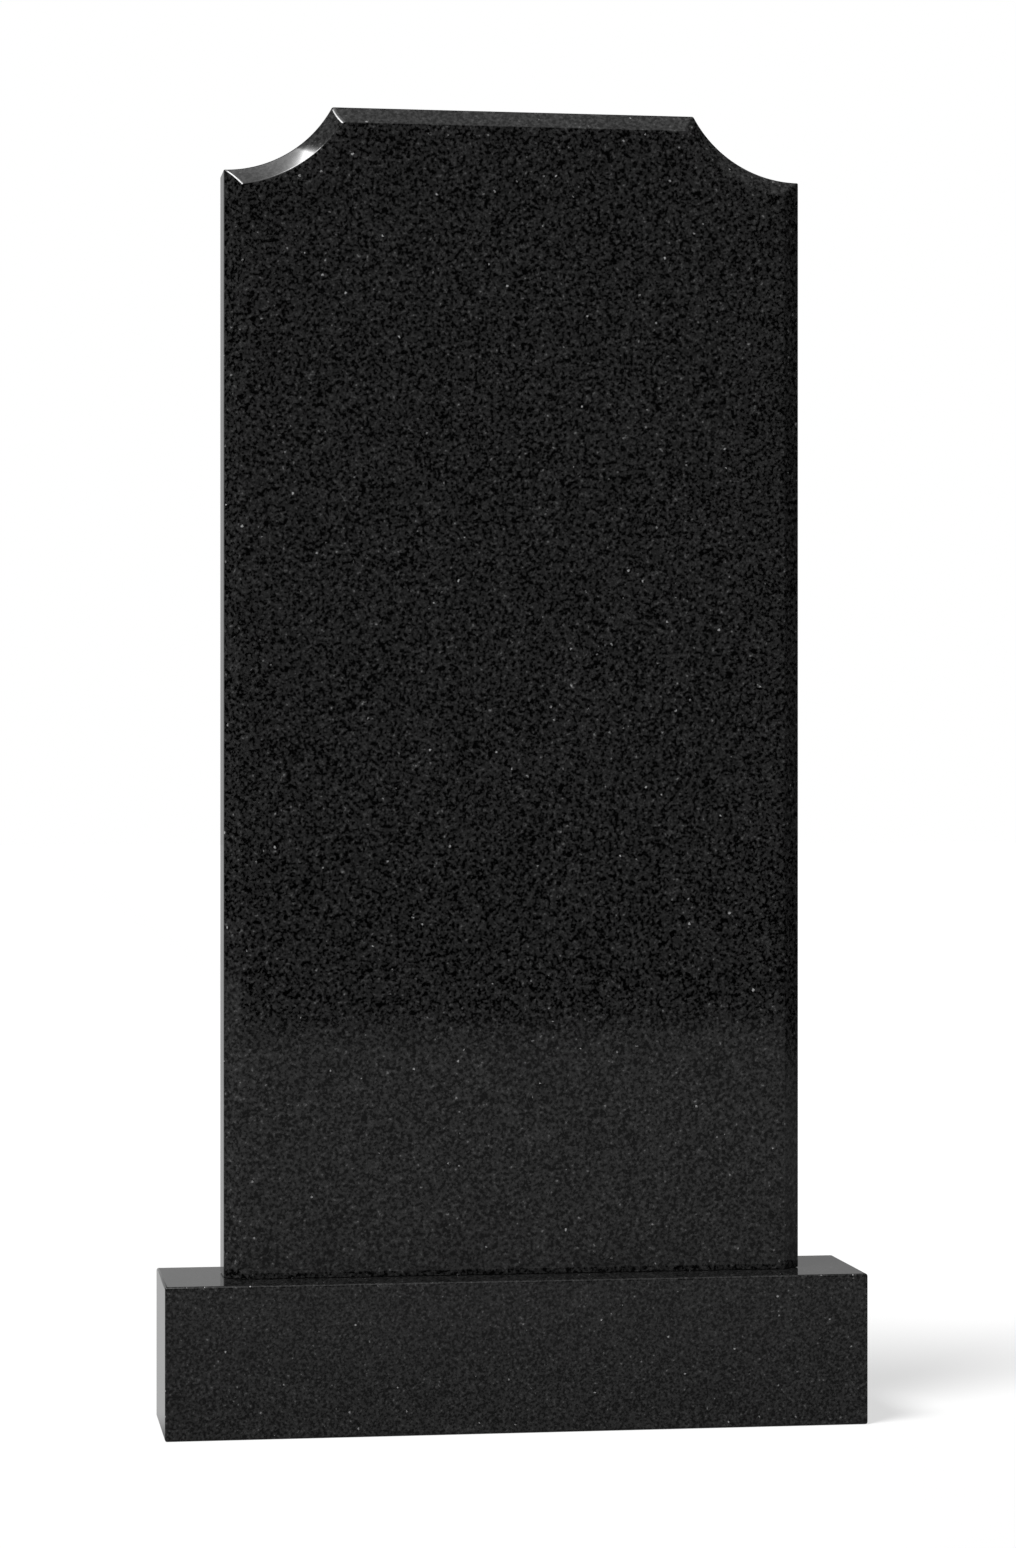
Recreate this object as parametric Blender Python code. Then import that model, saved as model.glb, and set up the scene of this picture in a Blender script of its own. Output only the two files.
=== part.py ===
"""Headstone of polished black stone: an upright slab with scooped shoulders on a low block plinth.

The frame is in metres with +Z up. The origin is the middle of the plinth's underside, the front faces
-Y and +X is to the right of someone who stands in front of the stone.
"""
import math

import bmesh
import bpy

# Driving sizes of the upright slab, the stele
STELE_WIDTH = 0.498
STELE_HEIGHT = 0.995
STELE_THICKNESS = 0.050
SHOULDER_RUN = 0.0925      # how far each scoop reaches in from the side of the slab
SHOULDER_DROP = 0.0553     # how far each scoop ends below the flat top
CHAMFER_WIDTH = 0.0144     # across the front face
CHAMFER_DEPTH = 0.010      # back from the front face
STELE_ARRIS = 0.0012       # eased edge where two polished faces meet

# Driving sizes of the plinth, as the ledges that it shows around the slab
PLINTH_HEIGHT = 0.129
FRONT_LEDGE = 0.040
BACK_LEDGE = 0.040
LEFT_LEDGE = 0.0524
RIGHT_LEDGE = 0.0496
PLINTH_ARRIS = 0.002

# The dry joint between slab and plinth
BED_GAP = 0.0003

# Fineness of the mesh
SCOOP_STEPS = 28
ARRIS_STEPS = 2
SHARP_ANGLE = math.radians(28)

# Places that follow from the sizes
PLINTH_WIDTH = LEFT_LEDGE + STELE_WIDTH + RIGHT_LEDGE
PLINTH_DEPTH = FRONT_LEDGE + STELE_THICKNESS + BACK_LEDGE
STELE_X = (LEFT_LEDGE - RIGHT_LEDGE) / 2
STELE_FRONT_Y = FRONT_LEDGE - PLINTH_DEPTH / 2
STELE_FOOT_Z = PLINTH_HEIGHT + BED_GAP

# A scoop is an arc that leaves the side of the slab level, so its centre is straight above that end
SCOOP_RADIUS = (SHOULDER_RUN ** 2 + SHOULDER_DROP ** 2) / (2 * SHOULDER_DROP)
SCOOP_CENTRE_RISE = SCOOP_RADIUS - SHOULDER_DROP


def clear_scene():
    """Remove what the open file holds."""
    for thing in list(bpy.data.objects):
        bpy.data.objects.remove(thing, do_unlink=True)


def polished_stone(name, shade):
    """Dark crystalline stone, honed and polished until it mirrors."""
    material = bpy.data.materials.new(name)
    material.use_nodes = True
    shader = material.node_tree.nodes["Principled BSDF"]
    shader.inputs["Base Color"].default_value = (*shade, 1.0)
    shader.inputs["Roughness"].default_value = 0.08
    shader.inputs["Metallic"].default_value = 0.0
    return material


def right_scoop(inset):
    """Points of the right scoop from its level end up to the peak, moved into the slab by inset."""
    centre_x = STELE_WIDTH / 2
    centre_z = STELE_HEIGHT + SCOOP_CENTRE_RISE
    radius = SCOOP_RADIUS + inset
    start = math.asin(inset / radius)
    end = math.acos((SCOOP_CENTRE_RISE + inset) / radius)
    points = []
    for step in range(SCOOP_STEPS + 1):
        angle = start + (end - start) * step / SCOOP_STEPS
        points.append((centre_x - radius * math.sin(angle), centre_z - radius * math.cos(angle)))
    return points


def slab_outline(inset):
    """Front outline from the right foot round to the left foot; the foot itself isn't moved in."""
    right_side = STELE_WIDTH / 2 - inset
    right = [(right_side, 0.0)] + right_scoop(inset)
    left = [(-x, z) for x, z in reversed(right)]
    return right + left


def solid_from_rings(name, rings):
    """Closed solid through rings of equally many points, with a flat cap on the first and the last."""
    mesh = bpy.data.meshes.new(name)
    shape = bmesh.new()
    loops = [[shape.verts.new(point) for point in ring] for ring in rings]
    count = len(rings[0])
    for near, far in zip(loops, loops[1:]):
        for i in range(count):
            j = (i + 1) % count
            shape.faces.new((near[i], near[j], far[j], far[i]))
    shape.faces.new(loops[0])
    shape.faces.new(loops[-1])
    bmesh.ops.recalc_face_normals(shape, faces=shape.faces)
    shape.to_mesh(mesh)
    shape.free()
    return mesh


def ease_arrises(thing, width):
    """Round every sharp edge of the object by a small width."""
    bevel = thing.modifiers.new("eased arris", "BEVEL")
    bevel.width = width
    bevel.segments = ARRIS_STEPS
    bevel.limit_method = "ANGLE"
    bevel.angle_limit = SHARP_ANGLE
    bevel.use_clamp_overlap = True


def add_piece(name, mesh, place, parent, material, arris):
    """One solid piece of the stone, placed under the parent."""
    piece = bpy.data.objects.new(name, mesh)
    bpy.context.collection.objects.link(piece)
    piece.parent = parent
    piece.location = place
    mesh.materials.append(material)
    mesh.shade_smooth()
    mesh.set_sharp_from_angle(angle=SHARP_ANGLE)
    ease_arrises(piece, arris)
    return piece


def make_stele(parent):
    """The slab: a flat back, square sides, and a chamfer round the front except along the foot."""
    full = slab_outline(0.0)
    face = slab_outline(CHAMFER_WIDTH)
    rings = [
        [(x, 0.0, z) for x, z in face],
        [(x, CHAMFER_DEPTH, z) for x, z in full],
        [(x, STELE_THICKNESS, z) for x, z in full],
    ]
    mesh = solid_from_rings("stele", rings)
    place = (STELE_X, STELE_FRONT_Y, STELE_FOOT_Z)
    material = polished_stone("polished gabbro of the slab", (0.012, 0.012, 0.0125))
    return add_piece("stele", mesh, place, parent, material, STELE_ARRIS)


def make_plinth(parent):
    """The block that carries the slab, with a ledge all round it."""
    half_width = PLINTH_WIDTH / 2
    half_depth = PLINTH_DEPTH / 2
    corners = [(half_width, -half_depth), (half_width, half_depth),
               (-half_width, half_depth), (-half_width, -half_depth)]
    rings = [[(x, y, z) for x, y in corners] for z in (0.0, PLINTH_HEIGHT)]
    mesh = solid_from_rings("plinth", rings)
    material = polished_stone("polished gabbro of the plinth", (0.014, 0.014, 0.0145))
    return add_piece("plinth", mesh, (0.0, 0.0, 0.0), parent, material, PLINTH_ARRIS)


def main():
    """Build the whole stone under one empty at its origin."""
    clear_scene()
    stone = bpy.data.objects.new("headstone", None)
    bpy.context.collection.objects.link(stone)
    make_plinth(stone)
    make_stele(stone)


main()
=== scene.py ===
# %% [markdown]
# # A headstone of polished black gabbro
#
# This lesson dresses a finished construction model. The model has two solids, a tall slab (the stele)
# and the block that it stands on (the plinth). Here each gets the surface that a stone works gives it:
# a flat mirror polish, a ground chamfer, eased edges, a few chips, and the grain of the stone itself.
# Everything is in metres. The stone faces -Y and stands on the floor at Z = 0.

# %% Load the construction model
import math

import bmesh
import bpy
from mathutils import Matrix, Vector


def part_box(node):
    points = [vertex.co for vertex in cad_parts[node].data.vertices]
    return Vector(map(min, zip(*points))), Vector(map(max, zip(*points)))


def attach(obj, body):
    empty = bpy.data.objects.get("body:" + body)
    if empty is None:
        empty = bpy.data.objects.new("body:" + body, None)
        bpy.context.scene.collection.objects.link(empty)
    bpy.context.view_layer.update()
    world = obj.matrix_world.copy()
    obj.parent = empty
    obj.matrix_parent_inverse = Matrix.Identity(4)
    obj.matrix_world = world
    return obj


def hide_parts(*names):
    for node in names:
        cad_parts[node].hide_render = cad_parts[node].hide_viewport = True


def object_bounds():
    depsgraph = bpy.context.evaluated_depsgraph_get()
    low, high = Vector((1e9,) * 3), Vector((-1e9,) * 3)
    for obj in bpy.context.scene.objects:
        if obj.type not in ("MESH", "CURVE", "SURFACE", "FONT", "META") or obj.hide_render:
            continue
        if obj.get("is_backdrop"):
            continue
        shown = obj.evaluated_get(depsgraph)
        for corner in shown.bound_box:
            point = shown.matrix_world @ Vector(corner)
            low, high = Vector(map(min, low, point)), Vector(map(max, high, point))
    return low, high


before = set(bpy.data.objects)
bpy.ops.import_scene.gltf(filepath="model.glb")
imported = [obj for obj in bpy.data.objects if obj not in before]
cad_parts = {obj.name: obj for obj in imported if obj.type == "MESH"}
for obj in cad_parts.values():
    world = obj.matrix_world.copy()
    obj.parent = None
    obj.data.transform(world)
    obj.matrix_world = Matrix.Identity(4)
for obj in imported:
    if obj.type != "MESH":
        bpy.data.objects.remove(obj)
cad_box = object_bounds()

STELE_LOW, STELE_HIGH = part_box("stele")
PLINTH_LOW, PLINTH_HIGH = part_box("plinth")
stele_size = STELE_HIGH - STELE_LOW
plinth_size = PLINTH_HIGH - PLINTH_LOW
print("slab", [round(v, 4) for v in stele_size], "plinth", [round(v, 4) for v in plinth_size])

# %% [markdown]
# ## Three small helpers
#
# Node trees get long when every socket takes a line of its own. One function adds any kind of node,
# sets its properties and fills its sockets, either with a value or with a link. A chain of sums is
# easier to read as a table, so a second function adds one node for each row of a table. A row holds a
# name, what is done, and the values, and a text among the values stands for the input or the earlier
# row of that name. The third function turns the hex colours that people read off a picture into the
# linear light that a shader works in.

# %% Helpers for nodes and colours
ROW_KINDS = {              # node, sockets that the row's values fill, output that is kept, settings
    "ramp": ("ShaderNodeMapRange", ("Value", "From Min", "From Max", "To Min", "To Max"), 0,
             {"interpolation_type": "SMOOTHSTEP"}),
    "blend": ("ShaderNodeMix", ("Factor", "A", "B"), 0, {}),
    "dot": ("ShaderNodeVectorMath", (0, 1), 1, {"operation": "DOT_PRODUCT"}),
}


def add(tree, kind, feeds=None, **settings):
    """Add a node. Settings are its properties; feeds fill sockets with values, links or lists of links."""
    node = tree.nodes.new(kind)
    for name, value in settings.items():
        setattr(node, name, value)
    for key, source in (feeds or {}).items():
        socket = node.inputs[key]
        for one in source if isinstance(source, list) else [source]:
            if isinstance(one, bpy.types.NodeSocket):
                tree.links.new(one, socket)
            else:
                socket.default_value = one
    return node


def add_rows(tree, known, rows):
    """Add a node for each row and keep its output in known, under the row's name."""
    for name, deed, *values in rows:
        kind, sockets, output, settings = ROW_KINDS.get(
            deed, ("ShaderNodeMath", (0, 1, 2), 0, {"operation": deed}))
        feeds = {socket: known[value] if isinstance(value, str) else value
                 for socket, value in zip(sockets, values)}
        known[name] = add(tree, kind, feeds, label=name, **settings).outputs[output]


def linear(hex_colour):
    """Linear RGBA of an sRGB hex colour such as #1d1d1d."""
    channels = [int(hex_colour[i:i + 2], 16) / 255 for i in (1, 3, 5)]
    return (*[c / 12.92 if c <= 0.04045 else ((c + 0.055) / 1.055) ** 2.4 for c in channels], 1.0)


print("mid grey", [round(c, 3) for c in linear("#808080")])

# %% [markdown]
# ## The sizes of the slab's cuts
#
# A mason saws the slab, drills a scoop of large radius out of each shoulder and grinds a chamfer round
# the front, along both sides, the top and the two scoops, but not along the foot, which the plinth
# hides. The drill's centre stands on the line of the slab's side, so each scoop meets the side level
# and the flat top in a sharp peak. The chamfer in a scoop is ground freehand and comes out a little
# crowned.

# %% Sizes of the slab's cuts
SHOULDER_RUN = 0.0925      # how far each scoop reaches in from the side of the slab
SHOULDER_DROP = 0.0553     # how far each scoop ends below the flat top
CHAMFER_WIDTH = 0.0144     # across the front face
CHAMFER_DEPTH = 0.010      # back from the front face
SCOOP_CROWN = 0.30         # share by which the scoop's chamfer swells past a straight cone

scoop_radius = (SHOULDER_RUN ** 2 + SHOULDER_DROP ** 2) / (2 * SHOULDER_DROP)
scoop_rise = scoop_radius - SHOULDER_DROP
print("scoop radius", round(scoop_radius, 4), "centre above the top", round(scoop_rise, 4))

# %% [markdown]
# ## How every tree starts and ends
#
# A Geometry Nodes tree is a recipe with named sizes. Each one here takes a geometry, some numbers and
# the stone that it is made of. Each ends in real geometry that has its material, because copies that
# only stand for a shape are lost when the piece leaves this file.

# %% Start and end of a tree
def new_tree(name, sizes):
    """A Geometry Nodes tree with one geometry, number inputs and a material, and its input sockets."""
    tree = bpy.data.node_groups.new(name, "GeometryNodeTree")
    tree.interface.new_socket("Geometry", in_out="INPUT", socket_type="NodeSocketGeometry")
    for size in sizes:
        kind = "NodeSocketInt" if size == "Seed" else "NodeSocketFloat"
        tree.interface.new_socket(size, in_out="INPUT", socket_type=kind)
    tree.interface.new_socket("Stone", in_out="INPUT", socket_type="NodeSocketMaterial")
    tree.interface.new_socket("Geometry", in_out="OUTPUT", socket_type="NodeSocketGeometry")
    return tree, add(tree, "NodeGroupInput").outputs


def end_tree(tree, geometry, stone):
    """Make the geometry real, set its material and hand both to the tree's output."""
    real = add(tree, "GeometryNodeRealizeInstances", {"Geometry": geometry})
    painted = add(tree, "GeometryNodeSetMaterial", {"Geometry": real.outputs[0], "Material": stone})
    add(tree, "NodeGroupOutput", {"Geometry": painted.outputs[0]})
    print(tree.name, "has", len(tree.nodes), "nodes")
    return tree


# %% [markdown]
# ## The sums behind the slab's outline
#
# Cutters and Booleans could copy the mason's work, but they leave slivers that spoil the eased edges
# later. All the outlines of the slab, from the polished face to the back, have the same corners. So the
# tree takes a cylinder with as many points round it as the outline has, and moves each ring to its
# place. The number of a ring, counted from the face, gives its depth and how far it is moved in, and in
# a scoop its radius swells along a curve between the two edges of the chamfer. The number of a corner,
# counted from either foot up to the peak, gives the place along the outline.

# %% Tables of sums for the slab
SCOOP_STEPS = 36           # facets along each scoop
CHAMFER_STEPS = 6          # facets across each chamfer
CORNERS = 2 * (SCOOP_STEPS + 2)
SLAB_SIZES = ("Width", "Thickness", "Height", "Scoop Radius", "Scoop Rise", "Chamfer Width",
              "Chamfer Depth", "Crown")

RING_ROWS = (
    ("below the face ring", "SUBTRACT", 0.5, "z"),
    ("rings below it", "MULTIPLY", "below the face ring", CHAMFER_STEPS + 1),
    ("ring", "ROUND", "rings below it"),
    ("is back", "GREATER_THAN", "ring", CHAMFER_STEPS + 0.5),
    ("part of the chamfer", "DIVIDE", "ring", CHAMFER_STEPS),
    ("share", "MINIMUM", "part of the chamfer", 1.0),
    ("share left", "SUBTRACT", 1.0, "share"),
    ("ground depth", "MULTIPLY", "Chamfer Depth", "share"),
    ("depth", "blend", "is back", "ground depth", "Thickness"),
    ("inset", "MULTIPLY", "Chamfer Width", "share left"),
    ("bow", "MULTIPLY", "share left", "share"),
    ("swell", "MULTIPLY", "Crown", "bow"),
    ("reach", "SUBTRACT", "share left", "swell"),
    ("radius", "MULTIPLY_ADD", "Chamfer Width", "reach", "Scoop Radius"),
)

CORNER_ROWS = (
    ("turn", "ARCTAN2", "y", "x"),
    ("turn in corners", "MULTIPLY", "turn", CORNERS / math.tau),
    ("nearest corner", "ROUND", "turn in corners"),
    ("corner", "FLOORED_MODULO", "nearest corner", CORNERS),
    ("is left", "GREATER_THAN", "corner", CORNERS / 2 - 0.5),
    ("twice left", "MULTIPLY", "is left", 2.0),
    ("side", "SUBTRACT", 1.0, "twice left"),
    ("corner from the left", "SUBTRACT", CORNERS - 1, "corner"),
    ("step", "MINIMUM", "corner", "corner from the left"),
    ("is foot", "LESS_THAN", "step", 0.5),
    ("sine of the start", "DIVIDE", "inset", "radius"),
    ("start", "ARCSINE", "sine of the start"),
    ("rise of the end", "ADD", "Scoop Rise", "inset"),
    ("cosine of the end", "DIVIDE", "rise of the end", "radius"),
    ("end", "ARCCOSINE", "cosine of the end"),
    ("steps past the start", "SUBTRACT", "step", 1.0),
    ("along", "DIVIDE", "steps past the start", SCOOP_STEPS),
    ("opening", "SUBTRACT", "end", "start"),
    ("angle", "MULTIPLY_ADD", "opening", "along", "start"),
    ("sine", "SINE", "angle"),
    ("scooped in", "MULTIPLY", "radius", "sine"),
    ("inward", "blend", "is foot", "scooped in", "inset"),
    ("centre", "ADD", "Height", "Scoop Rise"),
    ("cosine", "COSINE", "angle"),
    ("below the centre", "MULTIPLY", "radius", "cosine"),
    ("level", "SUBTRACT", "centre", "below the centre"),
    ("height", "blend", "is foot", "level", 0.0),
    ("half width", "MULTIPLY", "Width", 0.5),
    ("from the middle", "SUBTRACT", "half width", "inward"),
    ("across", "MULTIPLY", "side", "from the middle"),
)
print("corners round the slab:", CORNERS, "sums:", len(RING_ROWS) + len(CORNER_ROWS))

# %% [markdown]
# ## The tree for the slab
#
# The cylinder's own size doesn't matter, since each of its points gets a new place. The mason's sizes
# are the tree's inputs, so another slab of this pattern needs only other numbers.

# %% Build the tree for the slab
def slab_tree():
    """A cylinder whose rings are moved on to the slab's outlines, from the polished face to the back."""
    tree, sizes = new_tree("slab with scooped shoulders", SLAB_SIZES)
    barrel = add(tree, "GeometryNodeMeshCylinder", {
        "Vertices": CORNERS, "Side Segments": CHAMFER_STEPS + 1, "Radius": 1.0, "Depth": 1.0})
    point = add(tree, "GeometryNodeInputPosition").outputs[0]
    place = add(tree, "ShaderNodeSeparateXYZ", {0: point}).outputs
    known = {"x": place[0], "y": place[1], "z": place[2], **{size: sizes[size] for size in SLAB_SIZES}}
    add_rows(tree, known, RING_ROWS + CORNER_ROWS)
    moved = add(tree, "ShaderNodeCombineXYZ", {
        0: known["across"], 1: known["depth"], 2: known["height"]})
    shaped = add(tree, "GeometryNodeSetPosition", {
        "Geometry": barrel.outputs["Mesh"], "Position": moved.outputs[0]})
    return end_tree(tree, shaped.outputs[0], sizes["Stone"])


SLAB_TREE = slab_tree()

# %% [markdown]
# ## The plinth
#
# The plinth is a plain sawn block, so its tree is short: a block of the measured size that stands on
# the floor. Its character comes later, from the eased arrises and the chips.

# %% Build the tree for the plinth
def plinth_tree():
    """A sawn block with its underside at Z = 0."""
    tree, sizes = new_tree("sawn plinth", ("Width", "Depth", "Height"))
    size = add(tree, "ShaderNodeCombineXYZ", {0: sizes["Width"], 1: sizes["Depth"], 2: sizes["Height"]})
    block = add(tree, "GeometryNodeMeshCube", {"Size": size.outputs[0]}).outputs["Mesh"]
    up = add(tree, "ShaderNodeMath", {0: sizes["Height"], 1: 0.5}, operation="MULTIPLY").outputs[0]
    lift = add(tree, "ShaderNodeCombineXYZ", {2: up}).outputs[0]
    stood = add(tree, "GeometryNodeTransform", {"Geometry": block, "Translation": lift})
    return end_tree(tree, stood.outputs[0], sizes["Stone"])


PLINTH_TREE = plinth_tree()

# %% [markdown]
# ## Chips along the arrises
#
# Granite and gabbro are brittle, and a sharp arris loses small flakes when the stone is handled. A chip
# shows as a pale fleck, because broken stone scatters light that a polished face sends away. The tree
# walks along every sharp edge of a piece, sets a mark every two centimetres, keeps a few of them by a
# fixed seed and puts a small faceted lump on each. Loose points in the mesh are marks of their own, so
# the chips that the eye notices most can be placed one by one. The lumps are then cut out of the piece.

# %% Build the tree that makes the lumps
CHIP_EDGE_ANGLE = math.radians(50)
LUMP_FORM = (1.0, 0.7, 0.5)                # a flake is longer than wide and wider than thick
LUMP_DETAIL = 2
LUMP_FACES = 20 * 4 ** (LUMP_DETAIL - 1)


def chip_tree():
    """Small faceted lumps on a few marks along the sharp edges and on every loose point."""
    tree, sizes = new_tree("chips along the arrises", ("Spacing", "Share", "Small", "Large", "Seed"))
    angle = add(tree, "GeometryNodeInputMeshEdgeAngle").outputs["Unsigned Angle"]
    sharp = add(tree, "ShaderNodeMath", {0: angle, 1: CHIP_EDGE_ANGLE}, operation="GREATER_THAN")
    edges = add(tree, "GeometryNodeMeshToCurve", {"Mesh": sizes["Geometry"], "Selection": sharp.outputs[0]})
    marks = add(tree, "GeometryNodeResampleCurve", {
        "Curve": edges.outputs[0], "Length": sizes["Spacing"]}, mode="LENGTH")
    marks = add(tree, "GeometryNodeCurveToPoints", {"Curve": marks.outputs[0]}, mode="EVALUATED")
    lucky = add(tree, "FunctionNodeRandomValue", {
        "Probability": sizes["Share"], "Seed": sizes["Seed"]}, data_type="BOOLEAN")
    unlucky = add(tree, "FunctionNodeBooleanMath", {0: lucky.outputs[3]}, operation="NOT")
    kept = add(tree, "GeometryNodeDeleteGeometry", {
        "Geometry": marks.outputs["Points"], "Selection": unlucky.outputs[0]}, domain="POINT")
    neighbours = add(tree, "GeometryNodeInputMeshVertexNeighbors").outputs["Vertex Count"]
    loose = add(tree, "FunctionNodeCompare", {2: neighbours, 3: 0}, data_type="INT", operation="EQUAL")
    placed = add(tree, "GeometryNodeMeshToPoints", {
        "Mesh": sizes["Geometry"], "Selection": loose.outputs[0]})
    spots = add(tree, "GeometryNodeJoinGeometry", {0: [kept.outputs[0], placed.outputs[0]]})
    lump = add(tree, "GeometryNodeMeshIcoSphere", {"Radius": 1.0, "Subdivisions": LUMP_DETAIL})
    turn = add(tree, "FunctionNodeRandomValue", {
        0: (0.0, 0.0, 0.0), 1: (math.tau, math.tau, math.tau), "Seed": sizes["Seed"]},
        data_type="FLOAT_VECTOR")
    span = add(tree, "FunctionNodeRandomValue", {
        2: sizes["Small"], 3: sizes["Large"], "Seed": sizes["Seed"]}, data_type="FLOAT")
    flat = add(tree, "ShaderNodeVectorMath", {0: span.outputs[1], 1: LUMP_FORM}, operation="MULTIPLY")
    lumps = add(tree, "GeometryNodeInstanceOnPoints", {
        "Points": spots.outputs[0], "Instance": lump.outputs["Mesh"],
        "Rotation": turn.outputs[0], "Scale": flat.outputs[0]})
    return end_tree(tree, lumps.outputs[0], sizes["Stone"])


CHIP_TREE = chip_tree()

# %% [markdown]
# ## From a live tree to a plain mesh
#
# A modifier's inputs are known by their socket's identifier, which stays when a label changes. The
# The evaluated object is turned into a plain mesh, which keeps the shape that the modifiers made and drops
# the modifiers.

# %% Helpers that run a tree and keep its mesh
def new_object(name, mesh=None):
    """An object at the origin that shows a mesh."""
    thing = bpy.data.objects.new(name, mesh or bpy.data.meshes.new(name))
    bpy.context.scene.collection.objects.link(thing)
    return thing


def run_tree(thing, tree, values):
    """Put a tree on an object and set its named inputs."""
    modifier = thing.modifiers.new(tree.name, "NODES")
    modifier.node_group = tree
    for item in tree.interface.items_tree:
        if item.in_out == "INPUT" and item.name in values:
            modifier[item.identifier] = values[item.name]


def make_plain(thing):
    """Turn the evaluated shape of an object into its own mesh, with no modifiers left."""
    graph = bpy.context.evaluated_depsgraph_get()
    mesh = bpy.data.meshes.new_from_object(
        thing.evaluated_get(graph), preserve_all_data_layers=True, depsgraph=graph)
    thing.modifiers.clear()
    thing.data = mesh
    mesh.name = thing.name


# %% [markdown]
# ## From a sawn shape to a finished piece
#
# A hone takes the sharpness off every edge between two faces, so each edge becomes a narrow rounded
# strip that catches the light as a thin line. A Bevel modifier does the same, and a weight on each edge
# says how wide its strip is: the mitres where two chamfers meet are rubbed down more than the rest.
# Then the chips are cut. A polished face is as flat as glass, so the faces that lie in a flat plane are
# shaded flat, and only the scoops and their chamfers are shaded smooth. The narrow strips on the slab
# are shaded flat too. A stone rubbed along an arris leaves small flats, each of which can flash on its
# own, and a strip with a normal of its own doesn't smear its highlight over the chamfer beside it.

# %% Helpers that finish a piece
ARRIS_ANGLE = math.radians(20)
ARRIS_STEPS = 4
SHARP_ANGLE = math.radians(40)
FLAT_COSINE = 0.99999      # two directions with this cosine between them count as one


def ease_arrises(piece, widest, width_of):
    """Round every sharp edge by the width that width_of gives for it."""
    shape = bmesh.new()
    shape.from_mesh(piece.data)
    shape.normal_update()
    weight = shape.edges.layers.float.new("bevel_weight_edge")
    for edge in shape.edges:
        if edge.calc_face_angle() > ARRIS_ANGLE:
            edge[weight] = width_of(edge) / widest
    shape.to_mesh(piece.data)
    shape.free()
    bevel = piece.modifiers.new("eased arris", "BEVEL")
    bevel.width, bevel.segments, bevel.limit_method = widest, ARRIS_STEPS, "WEIGHT"
    make_plain(piece)


def cut_chips(piece, lumps):
    """Take the lumps out of the piece; the broken faces keep the lumps' material."""
    cut = piece.modifiers.new("chips", "BOOLEAN")
    cut.operation, cut.solver, cut.object, cut.material_mode = "DIFFERENCE", "MANIFOLD", lumps, "TRANSFER"
    make_plain(piece)
    bpy.data.objects.remove(lumps)


def saw_underside(piece, sawn):
    """Give the faces that point down the sawn finish."""
    piece.data.materials.append(sawn)
    for face in piece.data.polygons:
        if face.normal.z < -FLAT_COSINE:
            face.material_index = len(piece.data.materials) - 1


def shade_faces(piece, flat_directions, smallest=0.0):
    """Shade the polished planes and all that is smaller than smallest flat, and what is left smooth."""
    piece.data.set_sharp_from_angle(angle=SHARP_ANGLE)
    planes = [Vector(direction).normalized() for direction in flat_directions]
    for face in piece.data.polygons:
        turned = all(face.normal.dot(plane) < FLAT_COSINE for plane in planes)
        face.use_smooth = turned and face.area > smallest
    return sum(not face.use_smooth for face in piece.data.polygons)


# %% [markdown]
# ## The grain of the stone
#
# Black gabbro is a fine, even rock: black pyroxene between small grey laths of feldspar, with a rare
# bright fleck. The crystals are one to three millimetres across. Voronoi cells of that size, each with
# a tone of its own, stand for the crystals. A noise a little coarser stands for the way they cluster,
# and a slow noise for the drift of the mix across the block. All of it is worked out in the solid, so
# it runs on round every edge as it does in stone.

# %% Helpers for the stone
CRYSTAL_MM = 1.7           # single crystals, each of one tone
GRAIN_MM = 3.3             # clusters of dark and of pale crystals
CLOUD_MM = 25.0            # slow drift of the mix across the block
CRYSTAL_SHARE = 0.24       # how much of the tone a crystal has for itself
CLOUD_SHARE = 0.07         # how much of it the slow drift has
FLECK_SHARE = 0.001        # how many of the crystals are bright flecks
FLECK_LIFT = 0.30          # how far a fleck stands out along the ramp of tones
GRAIN_TURN = (0.6, 0.4, 0.3)   # turned, so no polished face lies along the noise's own grid
MM_PER_METRE = 1000.0


def new_material(name):
    """A material with its node tree and its main shader."""
    material = bpy.data.materials.new(name)
    material.use_nodes = True
    return material, material.node_tree, material.node_tree.nodes["Principled BSDF"]


def mineral_grain(tree, coarseness=1.0):
    """A value around one half that varies as the minerals do, in real millimetres."""
    place = add(tree, "ShaderNodeTexCoord").outputs["Object"]
    place = add(tree, "ShaderNodeMapping", {
        "Vector": place, "Rotation": GRAIN_TURN, "Scale": (1 / coarseness,) * 3}).outputs[0]
    clusters, clouds = [add(tree, "ShaderNodeTexNoise", {
        "Vector": place, "Scale": MM_PER_METRE / size, "Detail": 1.0, "Roughness": 0.5}).outputs[0]
        for size in (GRAIN_MM, CLOUD_MM)]
    crystals = add(tree, "ShaderNodeTexVoronoi", {"Vector": place, "Scale": MM_PER_METRE / CRYSTAL_MM})
    draw = add(tree, "ShaderNodeSeparateColor", {0: crystals.outputs["Color"]}).outputs
    known = {"clusters": clusters, "clouds": clouds, "own tone": draw[0], "own luck": draw[1]}
    add_rows(tree, known, (
        ("fine", "blend", CRYSTAL_SHARE, "clusters", "own tone"),
        ("mix", "blend", CLOUD_SHARE, "fine", "clouds"),
        ("is fleck", "LESS_THAN", "own luck", FLECK_SHARE),
        ("grain", "MULTIPLY_ADD", "is fleck", FLECK_LIFT, "mix")))
    return known["grain"]


def grain_tones(tree, tones, coarseness=1.0):
    """The grain as a colour, along a ramp of pairs of position and hex colour."""
    node = add(tree, "ShaderNodeValToRGB", {0: mineral_grain(tree, coarseness)})
    ramp = node.color_ramp
    while len(ramp.elements) < len(tones):
        ramp.elements.new(0.5)
    for element, (position, colour) in zip(ramp.elements, tones):
        element.position, element.color = position, linear(colour)
    return node.outputs[0]


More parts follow.
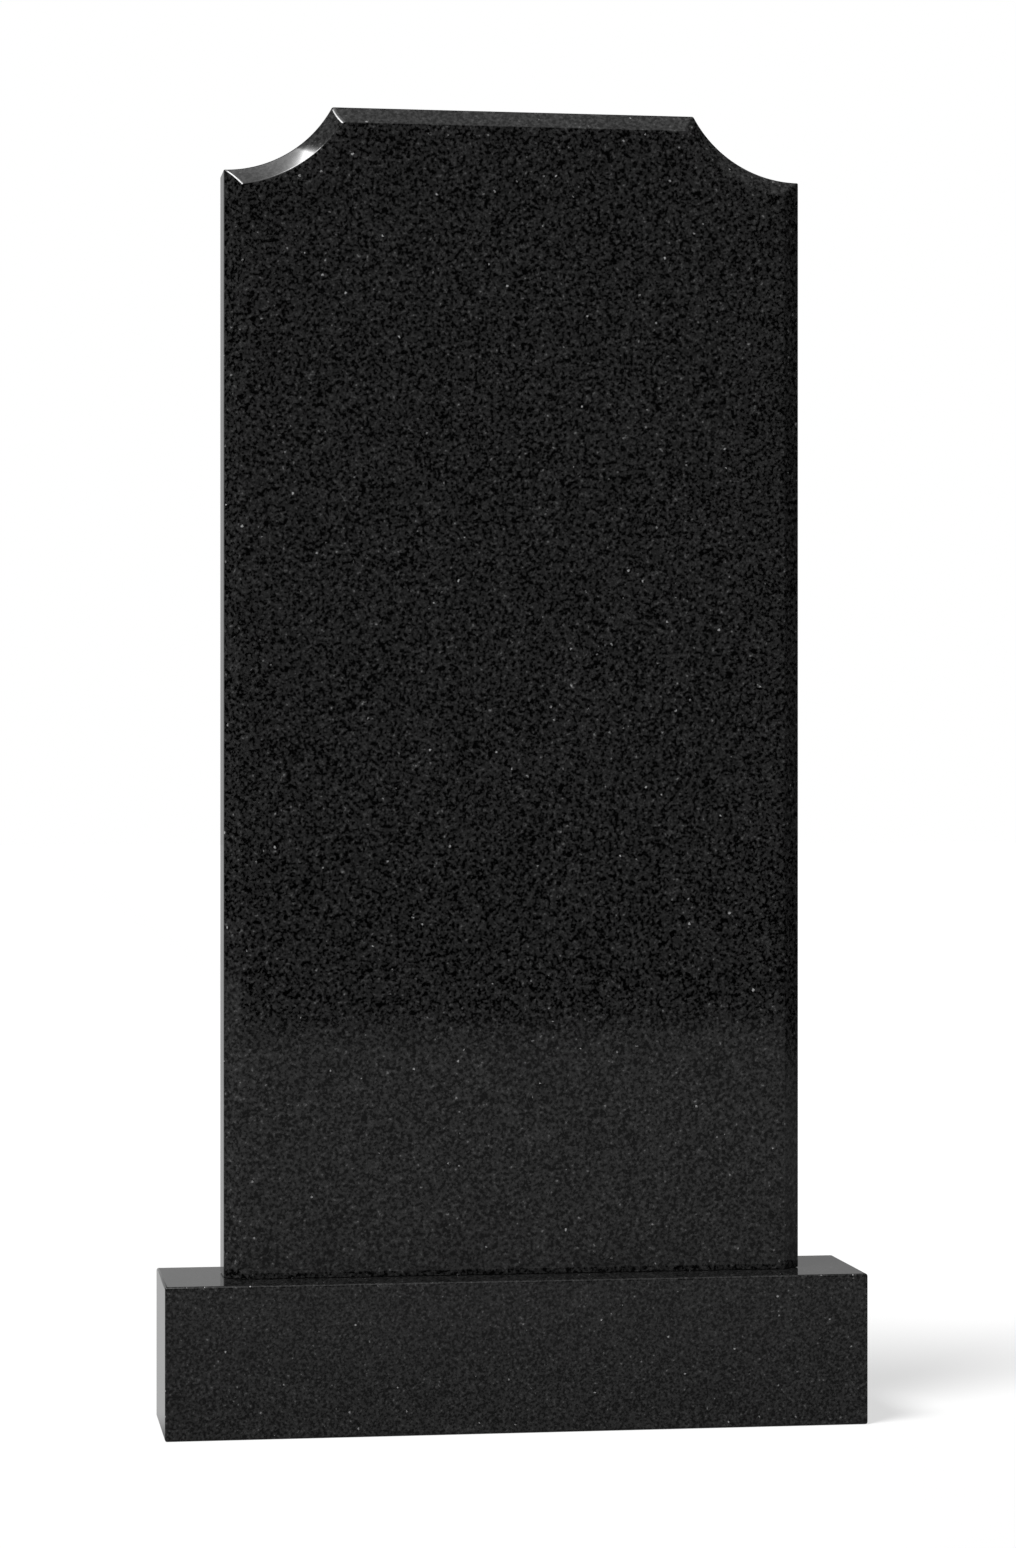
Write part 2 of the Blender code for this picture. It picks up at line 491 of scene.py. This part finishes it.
# %% [markdown]
# ## Three finishes of one stone
#
# Sawn, ground and polished with ever finer grit, gabbro becomes a dark mirror. The eye reads the
# reflections first and the grain under them second. Its feldspar has an index of refraction of 1.52 to
# 1.58, and the lower end matches how strongly this stone mirrors. Where a chip has broken the polish,
# the same minerals scatter the light and look pale grey. The underside keeps the saw's finish, dark
# grey and matt. The plinth comes from another block, a little finer and more even than the slab's, so
# the polished stone takes how coarse and how even it is as numbers.

# %% Polished, broken and sawn gabbro
POLISHED_TONES = (         # from pyroxene, the blackest, to feldspar and the rare fleck
    (0.395, "#010101"), (0.416, "#050505"), (0.434, "#0a0a0a"), (0.459, "#111111"),
    (0.493, "#171717"), (0.569, "#1c1c1c"), (0.66, "#242424"), (0.705, "#2b2b2b"),
    (0.742, "#343434"), (0.90, "#767676"))
MEAN_TONE = "#191919"      # what an even stone tends to
BROKEN_TONES = ((0.35, "#5c5c5c"), (0.65, "#a4a4a4"))
SAWN_TONES = ((0.30, "#2a2a2a"), (0.70, "#5e5e5e"))
POLISHED_IOR = 1.52
POLISHED_ROUGHNESS, BROKEN_ROUGHNESS, SAWN_ROUGHNESS = 0.04, 0.8, 0.6


def polished_gabbro(name, coarseness, evenness):
    """Polished with fine grit: near black, sharp reflections, faint grain under the gloss."""
    material, tree, shader = new_material(name)
    tone = grain_tones(tree, POLISHED_TONES, coarseness)
    even = add(tree, "ShaderNodeMix", {0: evenness, 6: tone, 7: linear(MEAN_TONE)}, data_type="RGBA")
    tree.links.new(even.outputs[2], shader.inputs["Base Color"])
    shader.inputs["Roughness"].default_value = POLISHED_ROUGHNESS
    shader.inputs["IOR"].default_value = POLISHED_IOR
    return material


def rough_gabbro(name, tones, roughness):
    """Broken or sawn, with no polish: the crystals scatter light and look paler."""
    material, tree, shader = new_material(name)
    tree.links.new(grain_tones(tree, tones), shader.inputs["Base Color"])
    shader.inputs["Roughness"].default_value = roughness
    return material


SLAB_STONE = polished_gabbro("polished gabbro of the slab", 1.0, 0.0)
PLINTH_STONE = polished_gabbro("polished gabbro of the plinth", 0.8, 0.15)
BROKEN = rough_gabbro("broken gabbro", BROKEN_TONES, BROKEN_ROUGHNESS)
SAWN = rough_gabbro("sawn gabbro", SAWN_TONES, SAWN_ROUGHNESS)
print("finishes:", [stone.name for stone in (SLAB_STONE, PLINTH_STONE, BROKEN, SAWN)])

# %% [markdown]
# ## Where the chips go
#
# Chips sit on the sharp edges as they were before easing. So the lumps are made from the sawn shape,
# and they are cut out once its arrises are eased. About one mark in twelve gets a lump.

# %% Lumps for a piece
CHIP_SPACING = 0.020       # between two marks along an edge
CHIP_SHARE = 0.08          # of the marks that get a lump
CHIP_SMALL, CHIP_LARGE = 0.0005, 0.0011    # half the length of a lump


def chip_lumps(piece, marks, seed):
    """The lumps for a piece that isn't eased yet, on random marks and on the given points."""
    lumps = new_object("lumps", piece.data.copy())
    shape = bmesh.new()
    shape.from_mesh(lumps.data)
    for mark in marks:
        shape.verts.new(mark)
    shape.to_mesh(lumps.data)
    shape.free()
    run_tree(lumps, CHIP_TREE, {"Spacing": CHIP_SPACING, "Share": CHIP_SHARE, "Small": CHIP_SMALL,
                                "Large": CHIP_LARGE, "Seed": seed, "Stone": BROKEN})
    make_plain(lumps)
    print("lumps:", len(lumps.data.polygons) // LUMP_FACES)
    return lumps


# %% [markdown]
# ## The finished slab
#
# The slab's own frame has its foot at zero and its front at Y = 0, so one move puts it in its place in
# the construction model. Each kind of arris has its own width. The polished face meets the straight
# chamfers in a crisp line, eased by half a millimetre. The scoops and the outer edges are eased by a
# little over one millimetre, and the mitres between two chamfers by about two.

# %% Make the slab
FACE_ARRIS = 0.0005        # between the face and a straight chamfer
SCOOP_ARRIS = 0.0012       # between the face and a scoop's chamfer
MITRE_ARRIS = 0.0022       # between two chamfers
OUTER_ARRIS = 0.0011       # all others
SCOOP_FACET = 4.5e-6       # square metres, less than any whole facet of a scoop's chamfer
CHAMFER_FORWARD = 0.5      # what looks forward at least this much is a chamfer or the face
FACE_FORWARD = 0.95        # and at least this much, the face
SLANT = 0.05               # a scoop's chamfer looks at least this much aside, and up too
SLAB_SEED = 5


def slab_arris(edge):
    """A chamfer looks forward and aside at once, and the faces beside an edge tell which edge it is."""
    forward = sorted(-face.normal.y for face in edge.link_faces)
    if all(CHAMFER_FORWARD < value < FACE_FORWARD for value in forward):
        return MITRE_ARRIS
    if forward[-1] < FACE_FORWARD:
        return OUTER_ARRIS
    curved = any(abs(face.normal.x) > SLANT and abs(face.normal.z) > SLANT for face in edge.link_faces)
    return SCOOP_ARRIS if curved else FACE_ARRIS


slab = new_object("polished_stele")
run_tree(slab, SLAB_TREE, {
    "Width": stele_size.x, "Thickness": stele_size.y, "Height": stele_size.z,
    "Scoop Radius": scoop_radius, "Scoop Rise": scoop_rise,
    "Chamfer Width": CHAMFER_WIDTH, "Chamfer Depth": CHAMFER_DEPTH, "Crown": SCOOP_CROWN,
    "Stone": SLAB_STONE})
make_plain(slab)
slab.data.transform(Matrix.Translation(((STELE_LOW.x + STELE_HIGH.x) / 2, STELE_LOW.y, STELE_LOW.z)))
print("slab as sawn:", len(slab.data.polygons), "faces")
slab_lumps = chip_lumps(slab, [], SLAB_SEED)
ease_arrises(slab, MITRE_ARRIS, slab_arris)
cut_chips(slab, slab_lumps)
saw_underside(slab, SAWN)
block_planes = [(0, -1, 0), (0, 1, 0), (1, 0, 0), (-1, 0, 0), (0, 0, 1), (0, 0, -1)]
chamfer_planes = [(0, -CHAMFER_WIDTH, CHAMFER_DEPTH), (CHAMFER_DEPTH, -CHAMFER_WIDTH, 0),
                  (-CHAMFER_DEPTH, -CHAMFER_WIDTH, 0)]
flat_faces = shade_faces(slab, block_planes + chamfer_planes, SCOOP_FACET)
print("flat faces:", flat_faces, "of", len(slab.data.polygons))

# %% [markdown]
# ## The finished plinth
#
# Its front arris took a few knocks near both ends, and those chips are placed one by one.

# %% Make the plinth
PLINTH_ARRIS = 0.002       # round the top and the foot
CORNER_ARRIS = 0.0011      # up the four corners
UPRIGHT = 0.01             # an edge that climbs further than this is an upright corner
FRONT_CHIPS_X = (-0.282, -0.267, -0.229, 0.259, 0.287)
CHIP_INSET = 0.0005        # how far the middle of a placed chip lies behind and below the arris
PLINTH_SEED = 11


def plinth_arris(edge):
    """The upright corners stay sharper than the edges round the top and the foot."""
    low, high = (corner.co for corner in edge.verts)
    return CORNER_ARRIS if abs(low.z - high.z) > UPRIGHT else PLINTH_ARRIS


plinth = new_object("polished_plinth")
run_tree(plinth, PLINTH_TREE, {
    "Width": plinth_size.x, "Depth": plinth_size.y, "Height": plinth_size.z, "Stone": PLINTH_STONE})
make_plain(plinth)
front_chips = [(x, PLINTH_LOW.y + CHIP_INSET, PLINTH_HIGH.z - CHIP_INSET) for x in FRONT_CHIPS_X]
plinth_lumps = chip_lumps(plinth, front_chips, PLINTH_SEED)
ease_arrises(plinth, PLINTH_ARRIS, plinth_arris)
cut_chips(plinth, plinth_lumps)
saw_underside(plinth, SAWN)
print("flat faces:", shade_faces(plinth, block_planes), "of", len(plinth.data.polygons))

# %% [markdown]
# ## Tie the pieces to the construction model
#
# Each piece rides on the one body of the part, and the node that it stands for is hidden, so the piece
# takes that node's place.

# %% Tie the pieces
for piece, node, slot in ((slab, "stele", "stele_stone"), (plinth, "plinth", "plinth_stone")):
    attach(piece, "root")
    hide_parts(node)
    print(piece.name, "stands for", node)

# %% [markdown]
# ## The floor
#
# A mirror shows its surroundings, so the studio matters as much as the lamps, and Light Path nodes tell
# the kinds of ray apart. The camera sees a plain pale floor with a soft shadow on it. The stone's gloss
# sees the same floor dimmer, and it ends a few metres off, so the mirror images keep the stone dark.
# Matt surfaces get light thrown back by the floor in front of the stone and hardly any from behind.

# %% Make the floor
FLOOR_HALF = 30.0          # so large that its far edge meets the white backdrop unseen
FLOOR_TONE = "#737373"
FLOOR_ROWS = (
    # In the gloss, in front of the stone: strength by distance, and where the floor ends
    ("front strength", "ramp", "y", -0.95, 0.0, 0.20, 0.11),
    ("front end", "ramp", "y", -5.9, -4.5, 0.0, 1.0),
    ("left end", "ramp", "x", -9.0, -5.5, 0.0, 1.0),
    ("right lift", "ramp", "x", 0.9, 1.8, 1.0, 1.5),
    ("right end", "ramp", "x", 2.4, 5.8, 1.0, 0.0),
    ("front to its end", "MULTIPLY", "front strength", "front end"),
    ("front to the left", "MULTIPLY", "front to its end", "left end"),
    ("front lifted", "MULTIPLY", "front to the left", "right lift"),
    ("front", "MULTIPLY", "front lifted", "right end"),
    # In the gloss, behind the stone
    ("behind strength", "ramp", "y", 1.5, 4.5, 0.54, 0.45),
    ("behind end", "ramp", "x", 0.3, 3.0, 1.0, 0.3),
    ("behind", "MULTIPLY", "behind strength", "behind end"),
    ("is behind", "ramp", "y", -0.10, 0.10, 0.0, 1.0),
    ("in the gloss", "blend", "is behind", "front", "behind"),
    # The light that the floor has of its own for the camera, and what it throws on matt surfaces
    # Painted light: the floor's glow rises to the right, which lightens the far end of the stone's shadow,
    # and lifts a little on the left, which keeps the floor beside the stone white.
    ("glow to the right", "ramp", "x", 0.30, 0.60, 0.652, 0.713),
    ("glow to the left", "ramp", "x", 0.0, 0.28, 0.03, 0.0),
    ("glow", "ADD", "glow to the right", "glow to the left"),
    ("bounce", "blend", "is behind", 0.85, 0.05),
)


def studio_floor():
    """A pale floor with a soft shadow; in the stone's gloss it is dimmer and ends a few metres off."""
    material, tree, shader = new_material("pale studio floor")
    tree.nodes.remove(shader)
    ray = add(tree, "ShaderNodeLightPath").outputs
    point = add(tree, "ShaderNodeTexCoord").outputs["Object"]
    place = add(tree, "ShaderNodeSeparateXYZ", {0: point}).outputs
    known = {"x": place[0], "y": place[1]}
    add_rows(tree, known, FLOOR_ROWS)
    dim, soft, glow = [add(tree, "ShaderNodeEmission", {"Strength": known[name]}).outputs[0]
                       for name in ("in the gloss", "bounce", "glow")]
    matt = add(tree, "ShaderNodeBsdfDiffuse", {"Color": linear(FLOOR_TONE)}).outputs[0]
    lit = add(tree, "ShaderNodeAddShader", {0: matt, 1: glow}).outputs[0]
    both = add(tree, "ShaderNodeMixShader", {0: ray["Is Glossy Ray"], 1: lit, 2: dim}).outputs[0]
    both = add(tree, "ShaderNodeMixShader", {0: ray["Is Diffuse Ray"], 1: both, 2: soft}).outputs[0]
    tree.links.new(both, tree.nodes["Material Output"].inputs["Surface"])
    material.cycles.emission_sampling = "NONE"
    return material


floor_mesh = bpy.data.meshes.new("floor")
floor_mesh.from_pydata([(x, y, 0.0) for x, y in (
    (-FLOOR_HALF, -FLOOR_HALF), (FLOOR_HALF, -FLOOR_HALF),
    (FLOOR_HALF, FLOOR_HALF), (-FLOOR_HALF, FLOOR_HALF))], [], [(0, 1, 2, 3)])
floor = new_object("floor", floor_mesh)
floor_mesh.materials.append(studio_floor())
floor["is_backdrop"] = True
print("floor:", 2 * FLOOR_HALF, "m wide,", len(FLOOR_ROWS), "sums")

# %% [markdown]
# ## The light that casts the shadow
#
# One large soft light stands high on the left, a little in front of the stone. The wider it looks from
# the stone, the softer is the shadow's edge. The gloss doesn't see it, because the room that the gloss
# sees has lamps of its own.

# %% Make the light
KEY_DIRECTION = Vector((-0.405, -0.294, 0.866)).normalized()
KEY_ANGLE = math.radians(19.6)     # how wide the light looks from the stone
KEY_STRENGTH = 6.6

key = bpy.data.objects.new("key light", bpy.data.lights.new("key light", "SUN"))
key.data.energy, key.data.angle = KEY_STRENGTH, KEY_ANGLE
key.rotation_euler = KEY_DIRECTION.to_track_quat("Z", "Y").to_euler()
key.visible_glossy = False
bpy.context.scene.collection.objects.link(key)
key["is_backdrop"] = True
print("light", round(math.degrees(math.asin(KEY_DIRECTION.z)), 1), "degrees above the floor")

# %% [markdown]
# ## The room around the stone
#
# The camera sees white all round. Matt surfaces get a soft light from the front. The gloss sees a room:
# dark in front, a low bright wall behind that is brightest to the left, and a pale ceiling. The left
# half of the ceiling is a light panel, and a lamp hangs before the panel's far edge. The lamp's light
# fades away from two planes, and the chamfer of the left scoop shows it as a bright crescent.

# %% Make the room
PANEL_NORMAL = (0.8747, -0.0570, 0.4813)   # of the plane that the panel ends at
PANEL_DIM, PANEL_BRIGHT = 1.42, 3.8        # at the middle of the ceiling and far to the left
LAMP_NORMALS = ((-0.7502, -0.3948, -0.5305), (0.9067, -0.0724, 0.4156))
LAMP_FALLOFFS = (23.0, 60.0)               # how fast the light fades away from each plane
LAMP_REACH = 0.02                          # how far it spills past the second plane
LAMP_STRENGTH = 21.0
FILL_STRENGTH, FILL_BASE = 2.1, 0.04       # from the front, and from all sides
FILL_POWER = 3.0                           # a higher power narrows the frontal light
ROOM_ROWS = (
    # A bright wall low behind the stone, brighter to the left, with a dark room in front and above
    ("rightward", "MAXIMUM", "x", 0.0),
    ("wall to the right", "MULTIPLY_ADD", "rightward", -0.40, 0.385),
    ("wall at least", "MAXIMUM", "wall to the right", 0.01),
    ("leftward", "MINIMUM", "x", 0.0),
    ("whole wall", "MULTIPLY_ADD", "leftward", -0.20, "wall at least"),
    ("above the wall", "ramp", "z", 0.25, 0.40, 0.0, 1.0),
    ("wall", "blend", "above the wall", "whole wall", 0.02),
    ("backward", "ramp", "y", -0.10, 0.10, 0.0, 1.0),
    ("low room", "blend", "backward", 0.012, "wall"),
    # A pale ceiling whose left half is a light panel
    ("past the panel's edge", "dot", "towards", PANEL_NORMAL),
    ("on the panel", "ramp", "past the panel's edge", 0.032, 0.056, 0.0, 1.0),
    ("panel", "ramp", "x", -0.50, -0.04, PANEL_BRIGHT, PANEL_DIM),
    ("left ceiling", "blend", "on the panel", 0.34, "panel"),
    ("ceiling fades", "ramp", "x", 0.05, 0.45, 0.62, 0.15),
    ("ceiling ends", "ramp", "x", 0.62, 0.76, 1.0, 0.2),
    ("right ceiling", "MULTIPLY", "ceiling fades", "ceiling ends"),
    ("is right", "ramp", "x", 0.0, 0.10, 0.0, 1.0),
    ("ceiling", "blend", "is right", "left ceiling", "right ceiling"),
    ("high enough", "ramp", "z", 0.55, 0.72, 0.0, 1.0),
    ("not too far back", "ramp", "y", 0.12, 0.35, 1.0, 0.0),
    ("is ceiling", "MULTIPLY", "high enough", "not too far back"),
    ("room", "blend", "is ceiling", "low room", "ceiling"),
    # A lamp in front of the panel's far edge, whose light fades away from each of two planes
    ("past plane one", "dot", "towards", LAMP_NORMALS[0]),
    ("short of plane one", "MINIMUM", "past plane one", 0.0),
    ("past plane two", "dot", "towards", LAMP_NORMALS[1]),
    ("past the reach", "ADD", "past plane two", LAMP_REACH),
    ("short of the reach", "MINIMUM", "past the reach", 0.0),
    ("fall one", "MULTIPLY", "short of plane one", LAMP_FALLOFFS[0]),
    ("fall two", "MULTIPLY", "short of the reach", LAMP_FALLOFFS[1]),
    ("fall", "ADD", "fall one", "fall two"),
    ("lamp's glow", "EXPONENT", "fall"),
    ("lamp's height", "ramp", "z", 0.45, 0.65, 0.0, LAMP_STRENGTH),
    ("lamp's front", "ramp", "y", -0.72, -0.56, 0.0, 1.0),
    ("overhead", "MULTIPLY", "lamp's height", "lamp's front"),
    ("room with lamp", "MULTIPLY_ADD", "lamp's glow", "overhead", "room"),
    # The frontal light on matt surfaces, and which ray gets which light
    ("forward", "MULTIPLY", "y", -1.0),
    ("forward only", "MAXIMUM", "forward", 0.0),
    ("frontal", "POWER", "forward only", FILL_POWER),
    ("fill", "MULTIPLY_ADD", "frontal", FILL_STRENGTH, FILL_BASE),
    ("to surfaces", "blend", "glossy ray", "fill", "room with lamp"),
    ("light", "blend", "camera ray", "to surfaces", 1.0),
)


def surroundings():
    """White to the camera, a soft front light to matt surfaces, and a lit room to glossy ones."""
    world = bpy.data.worlds.new("studio")
    bpy.context.scene.world = world
    world.use_nodes = True
    tree = world.node_tree
    tree.nodes.clear()
    ray = add(tree, "ShaderNodeLightPath").outputs
    towards = add(tree, "ShaderNodeTexCoord").outputs["Generated"]
    axis = add(tree, "ShaderNodeSeparateXYZ", {0: towards}).outputs
    known = {"x": axis[0], "y": axis[1], "z": axis[2], "towards": towards,
             "glossy ray": ray["Is Glossy Ray"], "camera ray": ray["Is Camera Ray"]}
    add_rows(tree, known, ROOM_ROWS)
    background = add(tree, "ShaderNodeBackground", {
        "Color": linear("#ffffff"), "Strength": known["light"]})
    add(tree, "ShaderNodeOutputWorld", {"Surface": background.outputs[0]})
    print("room:", len(tree.nodes), "nodes")


surroundings()

# %% [markdown]
# ## The camera
#
# The picture was taken from the left of the stone with a level camera, so upright edges stay upright.
# A small shift takes the place of the crop.

# %% The camera
PHOTO_HEIGHT_PX = 1548
FOCAL_PX = 3764.3          # in the photo's pixels, fitted to its straight edges
HORIZON_BELOW_CENTRE_PX = 8.8
SENSOR = 36.0              # millimetres
CAMERA_PLACE = (-0.4784, -3.2062, 0.5491)
CAMERA_TURN = 0.1476       # radians to the right

camera = bpy.data.objects.new("camera", bpy.data.cameras.new("camera"))
camera.location = CAMERA_PLACE
camera.rotation_euler = (math.pi / 2, 0.0, -CAMERA_TURN)
camera.data.sensor_width = SENSOR
camera.data.lens = SENSOR * FOCAL_PX / PHOTO_HEIGHT_PX
camera.data.shift_y = HORIZON_BELOW_CENTRE_PX / PHOTO_HEIGHT_PX
bpy.context.scene.collection.objects.link(camera)
bpy.context.scene.camera = camera
bpy.context.scene.view_settings.view_transform = "Standard"
print("lens", round(camera.data.lens, 2), "mm")

# %% [markdown]
# ## Check the size
#
# The box of the dressed stone is measured against the box of the construction model, and how much it grew
# is printed.

# %% Check the size
dressed_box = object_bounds()
grown = [MM_PER_METRE * (new - old) for corners in zip(cad_box, dressed_box)
         for old, new in zip(*corners)]
print("box grew by", [round(side, 3) for side in grown], "mm")
